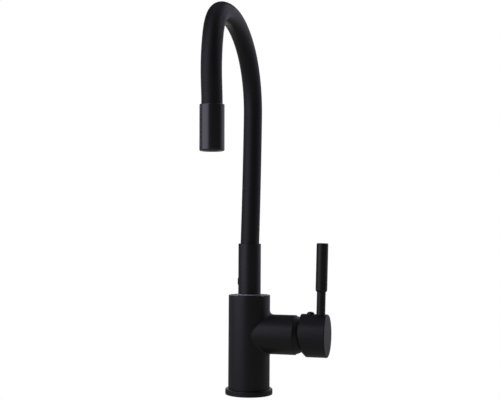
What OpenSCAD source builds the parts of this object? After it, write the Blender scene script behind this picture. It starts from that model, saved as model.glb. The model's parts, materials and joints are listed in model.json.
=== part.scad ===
// Single-lever mixer tap with a flexible spout that swivels on the body.
// Millimetres, +Z up. The origin is on the body's axis, on the deck that the tap stands on.
// The branch with the lever points along +X, and the spout reaches out along -Y.

/* [Body] */
// Diameter of the upright body
body_d = 48.5; // [47:0.5:54]
// Height of the body's top above the deck
body_h = 115; // [110:1:140]
// Chamfer round the body's top and the branch's mouth
body_chamfer = 0.6; // [0.3:0.1:1]
// Width of the shoulder that the body stands on
shoulder_w = 4; // [3:0.5:5]
// How far the base ring stands out from the body
ring_out = 3.35; // [3.05:0.05:7]
// Height of the base ring
ring_h = 6.5; // [6:0.5:14]
// Thickness of the base ring's floor, under the body's shoulder
ring_floor = 3; // [2.6:0.2:4]
// Rounding of the base ring's top edge
ring_round = 1.4; // [0.6:0.2:2.2]
// Width of the gasket under the base ring
gasket_w = 3; // [2:0.5:4]
// Thickness of the gasket
gasket_t = 1.6; // [1:0.2:2]

/* [Supply] */
// Distance between the two supply sockets
supply_pitch = 14; // [12:0.5:16]
// Distance from the body's axis to the supply sockets, towards the branch
supply_x = 6; // [5:0.5:8]
// Tapping diameter of the supply sockets
supply_tap_d = 9; // [8:0.1:9.4]
// Depth of the supply sockets
supply_depth = 14; // [10:1:20]
// Diameter of the waterways
way_d = 6; // [5:0.2:6.6]
// Distance from the body's axis to the fixing stud's socket, away from the branch
stud_x = 10; // [9:0.5:12]
// Tapping diameter of the fixing stud's socket
stud_tap_d = 6.8; // [5:0.2:8.4]
// Depth of the fixing stud's socket
stud_depth = 20; // [12:1:30]

/* [Branch] */
// Diameter of the branch
branch_d = 45.8; // [44.4:0.2:46]
// Height of the branch's axis above the deck
branch_z = 70; // [66:1:76]
// Distance from the body's axis to the branch's mouth
branch_end = 56; // [54:0.5:70]
// Diameter of the cartridge
cartridge_d = 34.8; // [34:0.2:35.4]
// Depth of the cartridge's seat behind the branch's mouth
seat_depth = 32; // [32:0.1:32.4]
// Thread diameter of the nut that holds the cartridge
nut_d = 39; // [38:0.2:40]
// Depth of the nut's thread behind the branch's mouth
nut_seat_depth = 10; // [9.8:0.1:10.2]
// Thickness of the nut
nut_t = 7; // [5:0.5:7]

/* [Cartridge] */
// Thickness of the base plate
base_plate_t = 4; // [3.8:0.1:4.1]
// How far the port seals stand out of the base plate
seal_proud = 0.6; // [0.4:0.1:0.8]
// Thickness of the ceramic discs
disc_t = 3; // [2.9:0.1:3]
// Diameter of the fixed disc
fixed_disc_d = 29; // [28:0.2:30]
// Diameter of the moving disc
moving_disc_d = 20.6; // [20:0.2:21]
// Wall of the housing
housing_wall = 2.1; // [2:0.1:2.2]
// Diameter of the housing's neck
neck_d = 24.6; // [24.2:0.1:24.8]
// Diameter of the rotor in the neck
rotor_d = 21.2; // [20.8:0.1:21.4]
// Distance from the branch's mouth back to the lever's pivot
pivot_back = 5; // [4.8:0.1:5.2]
// Length of the spindle's inner arm, from the pivot to its ball
arm_len = 10.5; // [10.3:0.1:10.7]
// Diameter of the ball on the spindle's inner end
ball_d = 6.2; // [5.6:0.1:6.4]
// Width across the square spindle
spindle_w = 8; // [7.4:0.1:8.2]
// Diameter of the spindle's pin
pin_d = 3; // [2.4:0.1:3.4]
// Radius of the dome over the nut
dome_r = 22.6; // [21.8:0.1:22.7]
// How far the dome stands out of the branch's mouth
dome_out = 5.5; // [4.5:0.1:5.6]

/* [Lever] */
// Diameter of the lever's head
head_d = 49.4; // [49.2:0.2:52]
// Distance from the pivot to the head's end face
head_reach = 42.2; // [41.6:0.1:46]
// Rounding of the head's end face
head_round = 1.3; // [0.6:0.1:2]
// Radius of the hollow that turns round the dome
hollow_r = 23.4; // [23.3:0.1:23.6]
// Depth of the hollow from the pivot
hollow_depth = 17.6; // [17.4:0.1:18]
// Radius of the bevelled rim at the back of the head
rim_r = 21.2; // [21:0.1:21.4]
// Distance from the pivot to the middle of the rim
rim_x = 11.1; // [11:0.1:11.6]
// Height of the rim's middle above the head's axis, which makes room under the head for the tilt
rim_up = 2.7; // [2.6:0.1:3]
// Distance from the pivot to the index plug and its set screw
plug_x = 22; // [21.5:0.1:22.5]
// Diameter of the index plug's cap
plug_d = 9; // [8:0.1:9.4]
// Height of the index plug above the head
plug_h = 2.6; // [1.6:0.1:3.2]
// Distance from the pivot to the lever's stem
stem_x = 33.9; // [33:0.1:34.2]
// Lean of the stem in the head, away from the body
stem_lean = 1.2; // [0:0.1:2]
// Diameter of the stem
stem_d = 10.2; // [9:0.1:10.5]
// Free length of the stem between the head and the grip
stem_len = 25.6; // [20:0.2:50]
// Diameter of the grip
grip_d = 13.5; // [12:0.1:16]
// Length of the grip
grip_len = 55.8; // [40:0.2:80]

/* [Spout socket] */
// Diameter of the ferrule on the body
ferrule_d = 26.4; // [26.4:0.1:29]
// Length of the ferrule
ferrule_len = 59; // [56:1:70]
// Thickness of the glide ring under the ferrule
glide_t = 0.9; // [0.6:0.1:1.6]
// Diameter of the glide ring
glide_d = 26.9; // [26.6:0.1:29]
// Diameter of the swivel bore in the body
swivel_d = 19; // [18.4:0.1:19.6]
// Depth of the swivel bore
swivel_depth = 30; // [28:0.5:31]
// Length of the nipple's collar in the ferrule
collar_len = 19; // [18:0.5:22]
// Height of the ferrule's clamp screw above its foot
clamp_z = 14.8; // [11:0.1:15]
// Turn of the clamp screw from the side, towards the front
clamp_turn = 15; // [0:1:40]
// Diameter of the clamp screw's low cap
clamp_cap_d = 8; // [7:0.2:9]

/* [Hose] */
// Diameter of the silicone sleeve
hose_d = 21.9; // [21.6:0.1:22]
// Wall of the sleeve
sleeve_wall = 1.75; // [1.5:0.05:1.8]
// Diameter of the wound core inside the sleeve
core_d = 17.6; // [17.2:0.1:17.8]
// Wall of the wound core
core_wall = 1.6; // [1.2:0.1:1.8]
// Diameter of the water tube inside the core
tube_d = 11.2; // [10.6:0.1:12]
// Wall of the water tube
tube_wall = 1.6; // [1.2:0.1:2]
// Length over which the hose leaves the ferrule
foot_len = 15; // [14:1:18]
// Backward lean that it takes up there
foot_lean = 5.8; // [4:0.1:6]
// Bending radius of the rise
rise_r = 2450; // [1500:50:3000]
// Length of the rise that flexes, next to the ferrule
foot_flex_len = 60; // [50:1:80]
// Length of the rise above it
rise_len = 91.8; // [80:0.2:120]
// Bending radius of the shoulder
shoulder_r = 88.4; // [85:0.2:94]
// Turn of the shoulder
shoulder_turn = 55.8; // [53:0.1:58]
// Bending radius of the crown
crown_r = 116; // [105:1:125]
// Turn of the crown
crown_turn = 50; // [46:0.5:53]
// Bending radius of the nose, the stretch that flexes above the outlet
nose_r = 36.2; // [34:0.2:44]
// Turn of the nose
nose_turn = 56.9; // [54:0.1:60]
// Bending radius of the drop
drop_r = 121.5; // [105:0.5:140]
// Turn of the drop
drop_turn = 28.9; // [26:0.1:32]
// Bending radius of the tail, which bends back the other way above the outlet
tail_r = 133; // [110:1:180]
// Turn of the tail
tail_turn = 7.9; // [6:0.1:9]

/* [Outlet] */
// Diameter of the outlet head
outlet_d = 25.8; // [25.4:0.1:27]
// Length of the outlet head
outlet_len = 47.8; // [46:0.1:60]
// Rounding of the outlet head's lower edge
outlet_round = 1.8; // [0.8:0.1:2.2]
// Depth of the sleeve in the outlet head
sleeve_grip = 12; // [10:0.5:14]
// Length of the nipple below the sleeve
nipple_len = 20; // [16:0.5:22]
// Thickness of the aerator's seal
aerator_seal_t = 1.5; // [1:0.1:2]
// Diameter of the aerator
aerator_d = 20.8; // [20:0.1:21]
// Rings of holes in the aerator's insert
aerator_rings = 3; // [1:1:3]

/* [Hidden] */
$fn = 64;

// Clearances
slip = 0.05;       // between pieces that are assembled once
run = 0.08;        // between pieces that turn or slide on each other
loose = 0.15;      // round the spindle's flats, the sleeve and the water tube
ball_play = 0.25;  // round the spindle's ball
seat_play = 0.3;   // under the ends of the sleeve and the tube
hair = 0.02;       // between the stretches of the hose
cut = 0.5;         // how far a cutter passes the face that it cuts

// Heights and places along the branch
branch_seat = branch_end - seat_depth;
nut_seat = branch_end - nut_seat_depth;
pivot_x = branch_end - pivot_back;
plate_x = branch_seat + seal_proud;
fixed_disc_x = plate_x + base_plate_t;
moving_disc_x = fixed_disc_x + disc_t;
carrier_x = moving_disc_x + disc_t;
carrier_end = pivot_x - arm_len + ball_d / 2 - 2.1;
rotor_x = carrier_end + 0.3;
rotor_flange_t = 1.5;
cap_x = rotor_x + rotor_flange_t + 0.2;
neck_end = branch_end + 1;
rotor_end = branch_end + 2;
housing_inner_r = cartridge_d / 2 - housing_wall;

// Diameter of the base ring
ring_d = body_d + 2 * ring_out;

// Heights of the swivel and its ferrule
glide_z = body_h;
ferrule_z = glide_z + glide_t;
ferrule_top = ferrule_z + ferrule_len;
collar_top = ferrule_z + collar_len;
barb_len = 14;
stop_screw_z = body_h - swivel_depth * 0.6;
o_ring_z = [body_h - 6, body_h - 11.5];
o_ring_t = 1.55;
o_ring_r = swivel_d / 2 - slip - o_ring_t / 2;

// Ports in the cartridge's seat: two inlets below the axis and the outlet above it
port_drop = 6.5;
port_rise = 7.5;
ports = [[-port_drop, supply_pitch / 2], [-port_drop, -supply_pitch / 2], [port_rise, 0]];

// The hose's centre line, in the upright plane of the spout. A pose is
// [distance forward, height, heading], with the heading in degrees forward of upright.
function bend(p, r, turn) = [
    p[0] + sign(turn) * r * (cos(p[2]) - cos(p[2] + turn)),
    p[1] + sign(turn) * r * (sin(p[2] + turn) - sin(p[2])),
    p[2] + turn
];
function turn_of(length, r) = length / r * 180 / PI;

// The hose's stretches, from the ferrule to the outlet. Each is an arc, [bending radius, turn].
foot = 0;
foot_flex = 1;
rise = 2;
shoulder = 3;
crown = 4;
nose = 5;
drop = 6;
tail = 7;
stretches = [
    [foot_len / foot_lean * 180 / PI, -foot_lean],
    [rise_r, turn_of(foot_flex_len, rise_r)],
    [rise_r, turn_of(rise_len, rise_r)],
    [shoulder_r, shoulder_turn],
    [crown_r, crown_turn],
    [nose_r, nose_turn],
    [drop_r, drop_turn],
    [tail_r, -tail_turn]
];
foot_start = [0, ferrule_top - foot_len, 0];
function pose_at(n) = n == 0 ? foot_start
    : bend(pose_at(n - 1), stretches[n - 1][0], stretches[n - 1][1]);
outlet_start = pose_at(len(stretches));

// Heights in the lever's frame
boss_out = 1.5;
boss_d = spindle_w + 8;
spindle_end = plug_x + 4.8;
set_screw_d = 5;
plug_shank_d = 7;
plug_seat = head_d / 2 - 7.3;
cap_seat = head_d / 2 - 0.6;
stem_thread_d = 8;
stem_foot = head_d / 2 - 2;
stem_root = stem_foot - 9;
grip_foot = head_d / 2 + stem_len;
grip_round = 1.2;

// The ferrule's collar and clamp screw
collar_d = hose_d + 0.5;
clamp_shank_d = 5;
clamp_cap_seat = ferrule_d / 2 - 0.9;

// Depths in the outlet head, from its upper face
outlet_bore_d = hose_d - 2 * sleeve_wall + 0.8;
nipple_end = sleeve_grip + nipple_len;
aerator_start = nipple_end + aerator_seal_t;
aerator_end = outlet_len - 0.4;
aerator_len = aerator_end - aerator_start;
aerator_bore_d = aerator_d - 3.6;
insert_end = aerator_len - 1.2;

black = "#26262a";
rubber_black = "#1d1d20";
brass = "#c9a04e";
steel = "#b4b7bb";
plastic_white = "#e4e2dc";
plastic_blue = "#5a86a8";

// ---- helpers ----

module tube(h, d, bore) {
    difference() {
        cylinder(h = h, d = d);
        translate([0, 0, -cut]) cylinder(h = h + 2 * cut, d = bore);
    }
}

// A cylinder with a 45 degree chamfer on its upper edge
module chamfered(h, d, c) {
    cylinder(h = h - c, d = d);
    translate([0, 0, h - c]) cylinder(h = c, d1 = d, d2 = d - 2 * c);
}

// A cylinder with its upper edge rounded
module rounded(h, d, r) {
    rotate_extrude() {
        square([d / 2 - r, h]);
        square([d / 2, h - r]);
        translate([d / 2 - r, h - r]) intersection() {
            circle(r);
            square(r);
        }
    }
}

// Places its children with their Z along the branch, x from the body's axis
module on_branch(x) {
    translate([x, 0, branch_z]) rotate([0, 90, 0]) children();
}

// The lever's frame: the pivot is the origin and X runs out along the head
module on_lever() {
    translate([pivot_x, 0, branch_z]) children();
}

// The stem's frame: Z runs up the stem, which leans about the point where it leaves the head
module on_stem() {
    on_lever() translate([stem_x, 0, head_d / 2]) rotate([0, stem_lean, 0]) translate([0, 0, -head_d / 2])
        children();
}

// Places its children with their Z along the hose at a pose of its centre line
module on_hose(p) {
    translate([0, -p[0], p[1]]) rotate([p[2], 0, 0]) children();
}

// Sweeps a flat profile along stretch n of the hose, to a hair before its end
module along_hose(n) {
    r = stretches[n][0];
    side = sign(stretches[n][1]);
    on_hose(pose_at(n))
        translate([0, -side * r, 0])
            rotate([90, 0, side * 90])
                rotate_extrude(angle = abs(stretches[n][1]) - turn_of(hair, r))
                    translate([r, 0]) children();
}

module ring_profile(d, wall) {
    difference() {
        circle(d = d);
        circle(d = d - 2 * wall);
    }
}

module sleeve_profile() ring_profile(hose_d, sleeve_wall);

// ---- body ----

module base_ring() color(black) {
    inner_d = body_d - 2 * shoulder_w + 2 * slip;
    difference() {
        rounded(ring_h, ring_d, ring_round);
        translate([0, 0, ring_floor]) cylinder(h = ring_h, d = body_d + 2 * slip);
        translate([0, 0, -cut]) cylinder(h = ring_h, d = inner_d);
        gasket_space(slip);
    }
}

// The ring of space that the gasket takes up, halfway between the foot and the rim
module gasket_space(clear) {
    mid_d = body_d / 2 - shoulder_w + ring_d / 2;
    translate([0, 0, -clear * 10])
        tube(gasket_t + clear * 10, mid_d + gasket_w + 2 * clear, mid_d - gasket_w - 2 * clear);
}

module base_gasket() color(rubber_black) gasket_space(0);

module valve_body() color(black) {
    difference() {
        union() {
            cylinder(h = ring_floor + cut, d = body_d - 2 * shoulder_w);
            translate([0, 0, ring_floor]) chamfered(body_h - ring_floor, body_d, body_chamfer);
            on_branch(0) chamfered(branch_end, branch_d, body_chamfer);
        }
        // cartridge socket and the nut's thread
        on_branch(branch_seat) cylinder(h = seat_depth + cut, d = cartridge_d + 2 * loose);
        on_branch(nut_seat) cylinder(h = nut_seat_depth + cut, d = nut_d);
        // swivel bore
        translate([0, 0, body_h - swivel_depth]) cylinder(h = swivel_depth + cut, d = swivel_d);
        // supply sockets and their ways to the cartridge
        for (side = [-1, 1]) {
            translate([supply_x, side * supply_pitch / 2, -cut])
                cylinder(h = supply_depth + cut, d = supply_tap_d);
            translate([supply_x, side * supply_pitch / 2, supply_depth - cut])
                cylinder(h = branch_z - port_drop - supply_depth + cut, d = way_d);
            translate([supply_x - way_d / 2, side * supply_pitch / 2, branch_z - port_drop])
                rotate([0, 90, 0]) cylinder(h = branch_seat - supply_x + way_d / 2 + cut, d = way_d);
        }
        // way from the cartridge to the swivel bore
        translate([-way_d / 2, 0, branch_z + port_rise])
            rotate([0, 90, 0]) cylinder(h = branch_seat + way_d / 2 + cut, d = way_d);
        translate([0, 0, branch_z + port_rise])
            cylinder(h = body_h - swivel_depth - branch_z - port_rise + cut, d = way_d);
        // fixing stud and stop screw
        translate([-stud_x, 0, -cut]) cylinder(h = stud_depth + cut, d = stud_tap_d);
        translate([0, 0, stop_screw_z]) rotate([-90, 0, 0]) cylinder(h = body_d, d = 5);
    }
}

module swivel_stop_screw() color(steel) {
    translate([0, 0, stop_screw_z]) rotate([-90, 0, 0]) difference() {
        union() {
            translate([0, 0, swivel_d / 2 - 0.9]) cylinder(h = 2, d = 3);
            translate([0, 0, swivel_d / 2 + 0.4]) cylinder(h = 7, d = 4.9);
        }
        translate([0, 0, swivel_d / 2 + 4.4]) cylinder(h = 4, d = 2.8, $fn = 6);
    }
}

// ---- cartridge ----

// Cuts the ports through a plate at x along the branch
module ports_through(x, t, d) {
    for (p = ports)
        translate([x - cut, p[1], branch_z + p[0]]) rotate([0, 90, 0]) cylinder(h = t + 2 * cut, d = d);
}

module cartridge_base() color(plastic_blue) {
    difference() {
        on_branch(plate_x) cylinder(h = base_plate_t, d = cartridge_d);
        ports_through(plate_x, base_plate_t, way_d);
        for (p = ports)
            translate([plate_x - cut, p[1], branch_z + p[0]]) rotate([0, 90, 0])
                cylinder(h = 1.4 + cut, d = way_d + 4 + 2 * slip);
    }
}

module cartridge_seals() color(rubber_black) {
    for (p = ports)
        translate([branch_seat, p[1], branch_z + p[0]]) rotate([0, 90, 0])
            tube(1.4 + seal_proud, way_d + 4, way_d);
}

module cartridge_housing() color(plastic_white) {
    difference() {
        union() {
            on_branch(fixed_disc_x) cylinder(h = nut_seat - fixed_disc_x, d = cartridge_d);
            on_branch(nut_seat - cut) cylinder(h = neck_end - nut_seat + cut, d = neck_d);
        }
        on_branch(fixed_disc_x - cut) cylinder(h = cap_x - fixed_disc_x + cut, r = housing_inner_r);
        on_branch(cap_x - cut) cylinder(h = neck_end - cap_x + 2 * cut, d = rotor_d + 2 * run);
    }
}

module fixed_disc() color("#f2f1ec") {
    difference() {
        on_branch(fixed_disc_x) cylinder(h = disc_t, d = fixed_disc_d);
        ports_through(fixed_disc_x, disc_t, way_d);
    }
}

// Its mixing chamber is open towards the fixed disc
module moving_disc() color("#f2f1ec") {
    chamber_d = moving_disc_d * 0.5;
    difference() {
        on_branch(moving_disc_x) cylinder(h = disc_t, d = moving_disc_d);
        on_branch(moving_disc_x - cut) cylinder(h = disc_t * 0.6 + cut, d = chamber_d);
    }
}

module disc_carrier() color(plastic_white) {
    difference() {
        on_branch(carrier_x) cylinder(h = carrier_end - carrier_x, d = moving_disc_d);
        on_branch(pivot_x - arm_len - ball_d / 2 - 0.4) cylinder(h = ball_d * 2, d = ball_d + 2 * ball_play);
    }
}

module cartridge_rotor() color(plastic_blue) {
    slot_h = rotor_d - 3;
    difference() {
        union() {
            on_branch(rotor_x) cylinder(h = rotor_flange_t, r = housing_inner_r - 0.3);
            on_branch(rotor_x) cylinder(h = rotor_end - rotor_x, d = rotor_d);
        }
        translate([rotor_x - cut, -spindle_w / 2 - loose, branch_z - slot_h / 2])
            cube([rotor_end - rotor_x + 2 * cut, spindle_w + 2 * loose, slot_h]);
        translate([pivot_x, 0, branch_z]) rotate([90, 0, 0])
            cylinder(h = rotor_d + 2 * cut, d = pin_d + 2 * slip, center = true);
    }
}

module spindle_pin() color(steel) {
    pin_len = 2 * sqrt(pow(rotor_d / 2, 2) - pow(pin_d / 2, 2)) - 1;
    translate([pivot_x, 0, branch_z]) rotate([90, 0, 0]) cylinder(h = pin_len, d = pin_d, center = true);
}

module spindle() color(brass) {
    half = spindle_w / 2;
    socket_end = plug_x + 4.8;
    on_lever() difference() {
        union() {
            translate([-half, -half, -half]) cube([half + socket_end, spindle_w, spindle_w]);
            translate([-arm_len, 0, 0]) rotate([0, 90, 0]) cylinder(h = arm_len, d = ball_d * 0.7);
            translate([-arm_len, 0, 0]) sphere(d = ball_d);
        }
        rotate([90, 0, 0]) cylinder(h = spindle_w + 2 * cut, d = pin_d + 2 * run, center = true);
    }
}

module retaining_nut() color(brass) {
    on_branch(nut_seat) tube(nut_t, nut_d - 2 * slip, neck_d + 2 * loose);
}

// The dome's outer face is a ball round the lever's pivot
module dome_cover() color(black) {
    skirt_len = nut_seat_depth - nut_t - 0.2;
    lip_t = 2;
    on_branch(branch_end) difference() {
        rotate_extrude() {
            translate([0, -skirt_len]) square([nut_d / 2 - slip, skirt_len + cut]);
            intersection() {
                translate([0, -pivot_back]) circle(dome_r);
                square([dome_r, dome_out]);
            }
        }
        translate([0, 0, -skirt_len - cut]) cylinder(h = skirt_len + dome_out + 2 * cut, d = neck_d + 1);
        translate([0, 0, -skirt_len - cut]) cylinder(h = skirt_len + dome_out - lip_t + cut, d = nut_d - 8);
    }
}

// ---- lever ----

// Places its children with their Z along the head's axis, x from the pivot
module on_head(x) {
    translate([x, 0, 0]) rotate([0, 90, 0]) children();
}

// The hollow at the back of the head, with the boss that holds the spindle left standing
module head_hollow() {
    difference() {
        intersection() {
            sphere(r = hollow_r, $fn = 96);
            on_head(-hollow_r - cut) cylinder(h = hollow_r + cut + hollow_depth, r = hollow_r + cut);
        }
        on_head(hollow_depth - boss_out) cylinder(h = boss_out + cut, d = boss_d);
    }
}

// The cone that cuts the rim: it opens outwards at 45 degrees from a circle above the head's axis
module rim_cone() {
    translate([rim_x, 0, rim_up]) rotate([0, 90, 0])
        cylinder(h = 2 * head_reach, r1 = rim_r, r2 = rim_r + 2 * head_reach);
}

module lever_head() color(black) {
    socket_w = spindle_w + 2 * slip;
    difference() {
        on_lever() difference() {
            intersection() {
                rotate([0, 90, 0]) rounded(head_reach, head_d, head_round);
                rim_cone();
            }
            head_hollow();
            translate([hollow_depth - boss_out - cut, -socket_w / 2, -socket_w / 2])
                cube([spindle_end + 0.2 - hollow_depth + boss_out + cut, socket_w, socket_w]);
            translate([plug_x, 0, 0]) cylinder(h = head_d, d = set_screw_d + 2 * slip);
            translate([plug_x, 0, plug_seat]) cylinder(h = head_d, d = plug_shank_d + 2 * slip);
            translate([plug_x, 0, cap_seat]) cylinder(h = head_d, d = plug_d + 2 * slip);
        }
        on_stem() translate([0, 0, stem_root]) cylinder(h = head_d, d = stem_thread_d + 2 * slip);
        on_stem() translate([0, 0, stem_foot]) cylinder(h = head_d, d = stem_d + 2 * slip);
    }
}

module lever_stem() color(black) {
    on_stem() {
        translate([0, 0, stem_root + 0.3]) cylinder(h = stem_foot - stem_root, d = stem_thread_d);
        translate([0, 0, stem_foot]) cylinder(h = grip_foot - stem_foot, d = stem_d);
        translate([0, 0, grip_foot - cut]) cylinder(h = grip_len * 0.7 + cut, d = stem_thread_d);
    }
}

module lever_grip() color(black) {
    on_stem() translate([0, 0, grip_foot]) difference() {
        intersection() {
            rounded(grip_len, grip_d, grip_round);
            translate([0, 0, grip_len]) mirror([0, 0, 1]) rounded(grip_len, grip_d, grip_round);
        }
        translate([0, 0, -cut]) cylinder(h = grip_len * 0.7 + 2 * cut, d = stem_thread_d + 2 * slip);
    }
}

module lever_set_screw() color(steel) {
    screw_len = plug_seat - spindle_w / 2 - 3;
    on_lever() translate([plug_x, 0, spindle_w / 2]) difference() {
        cylinder(h = screw_len, d = set_screw_d);
        translate([0, 0, screw_len - 2.4]) cylinder(h = 2.4 + cut, d = 2.9, $fn = 6);
    }
}

// Its cap is the top of a ball
module index_plug() color("#3a1f22") {
    rise = head_d / 2 + plug_h - cap_seat;
    ball_r = (pow(plug_d / 2, 2) + pow(rise, 2)) / (2 * rise);
    on_lever() translate([plug_x, 0, 0]) {
        translate([0, 0, plug_seat + 0.3]) cylinder(h = cap_seat - plug_seat, d = plug_shank_d);
        intersection() {
            translate([0, 0, cap_seat + rise - ball_r]) sphere(r = ball_r);
            translate([0, 0, cap_seat]) cylinder(h = rise + cut, d = plug_d);
        }
    }
}

// ---- spout socket ----

module swivel_nipple() color(brass) {
    difference() {
        union() {
            translate([0, 0, body_h - swivel_depth + 0.4])
                cylinder(h = swivel_depth - 0.4 + glide_t + cut, d = swivel_d - 2 * run);
            translate([0, 0, ferrule_z]) cylinder(h = collar_len, d = collar_d);
            translate([0, 0, collar_top - cut]) cylinder(h = barb_len + cut, d = hose_d - 2 * sleeve_wall - 2 * slip);
        }
        translate([0, 0, body_h - swivel_depth]) cylinder(h = swivel_depth + collar_len + barb_len + 2, d = way_d + 2);
        translate([0, 0, collar_top]) cylinder(h = barb_len + cut, d = tube_d + 2 * slip);
        for (z = o_ring_z)
            translate([0, 0, z - o_ring_t / 2 - 0.15])
                tube(o_ring_t + 0.3, swivel_d + cut, swivel_d - 2 * slip - 2 * o_ring_t - 0.1);
        translate([0, 0, stop_screw_z - 1.9]) tube(3.8, swivel_d + cut, swivel_d - 2.4);
    }
}

module swivel_o_rings() color(rubber_black) {
    for (z = o_ring_z)
        translate([0, 0, z]) rotate_extrude() translate([o_ring_r, 0]) circle(d = o_ring_t);
}

module glide_ring() color("#c8ccd4") {
    translate([0, 0, glide_z]) tube(glide_t, glide_d, swivel_d + 2 * slip);
}

module spout_ferrule() color(black) {
    difference() {
        translate([0, 0, ferrule_z]) chamfered(ferrule_len, ferrule_d, 0.5);
        translate([0, 0, ferrule_z - cut]) cylinder(h = ferrule_len, d = collar_d + 2 * slip);
        translate([0, 0, foot_start[1] - 2]) cylinder(h = foot_len + 3, d = ferrule_d - 2.6);
        on_clamp() translate([0, 0, -cut]) cylinder(h = ferrule_d, d = clamp_shank_d + 2 * slip);
        on_clamp() translate([0, 0, clamp_cap_seat]) cylinder(h = ferrule_d, d = clamp_cap_d + 2 * slip);
    }
}

// The clamp screw's frame: Z runs outwards from the ferrule's axis
module on_clamp() {
    translate([0, 0, ferrule_z + clamp_z]) rotate([0, -90, clamp_turn]) children();
}

module ferrule_clamp_screw() color(black) {
    cap_out = ferrule_d / 2 + 0.6 - clamp_cap_seat;
    on_clamp() {
        translate([0, 0, collar_d / 2]) cylinder(h = clamp_cap_seat - collar_d / 2 + cut, d = clamp_shank_d);
        translate([0, 0, clamp_cap_seat]) chamfered(cap_out, clamp_cap_d, 0.4);
    }
}

// ---- hose ----

// The sleeve is one piece of silicone. It is given here in eight stretches: six that keep
// their shape, and the two that flex, above the ferrule and at the nose.
module hose_foot() color(rubber_black) {
    translate([0, 0, collar_top]) tube(foot_start[1] - collar_top, hose_d, hose_d - 2 * sleeve_wall);
    along_hose(foot) sleeve_profile();
}

module hose_foot_flex() color(rubber_black) along_hose(foot_flex) sleeve_profile();
module hose_rise() color(rubber_black) along_hose(rise) sleeve_profile();
module hose_shoulder() color(rubber_black) along_hose(shoulder) sleeve_profile();
module hose_crown() color(rubber_black) along_hose(crown) sleeve_profile();
module hose_nose_flex() color(rubber_black) along_hose(nose) sleeve_profile();
module hose_drop() color(rubber_black) along_hose(drop) sleeve_profile();

// Its end is straight, in the outlet head
module hose_tail() color(rubber_black) {
    along_hose(tail) sleeve_profile();
    on_hose(outlet_start) tube(sleeve_grip, hose_d, hose_d - 2 * sleeve_wall);
}

// The wound core that holds the sleeve in shape, from barb to barb
module hose_core() color(steel) {
    core_foot = collar_top + barb_len + 0.5;
    translate([0, 0, core_foot]) tube(foot_start[1] - core_foot, core_d, core_d - 2 * core_wall);
    for (n = [foot : tail]) along_hose(n) ring_profile(core_d, core_wall);
}

module water_tube() color(plastic_white) {
    translate([0, 0, collar_top]) tube(foot_start[1] - collar_top, tube_d, tube_d - 2 * tube_wall);
    for (n = [foot : tail]) along_hose(n) ring_profile(tube_d, tube_wall);
    on_hose(outlet_start) tube(sleeve_grip, tube_d, tube_d - 2 * tube_wall);
}

// ---- outlet ----

module outlet_head() color(black) {
    on_hose(outlet_start) difference() {
        intersection() {
            rounded(outlet_len, outlet_d, outlet_round);
            translate([0, 0, outlet_len]) mirror([0, 0, 1]) rounded(outlet_len, outlet_d, 0.7);
        }
        translate([0, 0, -cut]) cylinder(h = sleeve_grip + cut + seat_play, d = hose_d + 2 * loose);
        translate([0, 0, sleeve_grip - cut]) cylinder(h = outlet_len, d = outlet_bore_d);
        translate([0, 0, nipple_end]) cylinder(h = outlet_len, d = aerator_d + 2 * slip);
    }
}

module outlet_nipple() color(brass) {
    on_hose(outlet_start) difference() {
        union() {
            translate([0, 0, 0.5]) cylinder(h = sleeve_grip, d = hose_d - 2 * sleeve_wall - 2 * loose);
            translate([0, 0, sleeve_grip + seat_play])
                cylinder(h = nipple_len - seat_play, d = outlet_bore_d - 2 * slip);
        }
        translate([0, 0, -cut]) cylinder(h = outlet_len, d = way_d + 2);
        translate([0, 0, -cut]) cylinder(h = sleeve_grip + cut + seat_play, d = tube_d + 2 * loose);
    }
}

module aerator_seal() color(rubber_black) {
    on_hose(outlet_start) translate([0, 0, nipple_end])
        tube(aerator_start - nipple_end, aerator_d - 0.2, aerator_d * 0.6);
}

module aerator_housing() color(black) {
    on_hose(outlet_start) translate([0, 0, aerator_start]) difference() {
        cylinder(h = aerator_len, d = aerator_d);
        translate([0, 0, -cut]) cylinder(h = aerator_len + 2 * cut, d = aerator_bore_d - 2);
        translate([0, 0, -cut]) cylinder(h = insert_end + cut, d = aerator_bore_d);
    }
}

// A plate with rings of holes that straighten the stream
module aerator_insert() color(plastic_white) {
    hole_d = 1.6;
    ring_step = (aerator_bore_d / 2 - 1.6) / (aerator_rings + 0.3);
    on_hose(outlet_start) translate([0, 0, aerator_start + 1]) difference() {
        cylinder(h = insert_end - 1, d = aerator_bore_d - 2 * slip);
        translate([0, 0, -cut]) cylinder(h = insert_end, d = hole_d);
        for (ring = [1 : aerator_rings], i = [1 : 6 * ring])
            rotate(i * 60 / ring) translate([ring * ring_step, 0, -cut])
                cylinder(h = insert_end, d = hole_d);
    }
}

base_ring();
base_gasket();
valve_body();
swivel_stop_screw();
cartridge_base();
cartridge_seals();
cartridge_housing();
fixed_disc();
moving_disc();
disc_carrier();
cartridge_rotor();
spindle();
spindle_pin();
retaining_nut();
dome_cover();
lever_head();
lever_stem();
lever_grip();
lever_set_screw();
index_plug();
swivel_nipple();
swivel_o_rings();
glide_ring();
spout_ferrule();
ferrule_clamp_screw();
hose_foot();
hose_foot_flex();
hose_rise();
hose_shoulder();
hose_crown();
hose_nose_flex();
hose_drop();
hose_tail();
hose_core();
water_tube();
outlet_nipple();
outlet_head();
aerator_seal();
aerator_housing();
aerator_insert();
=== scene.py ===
"""A kitchen faucet with a flexible spout, dressed in the order in which it is put together.

Metres, with +Z up. The body stands on the origin, its branch and its lever point along +X, and
the spout reaches out along -Y.
"""

import json
import math

import bmesh
import bpy
import numpy as np
from mathutils import Matrix, Vector


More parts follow.
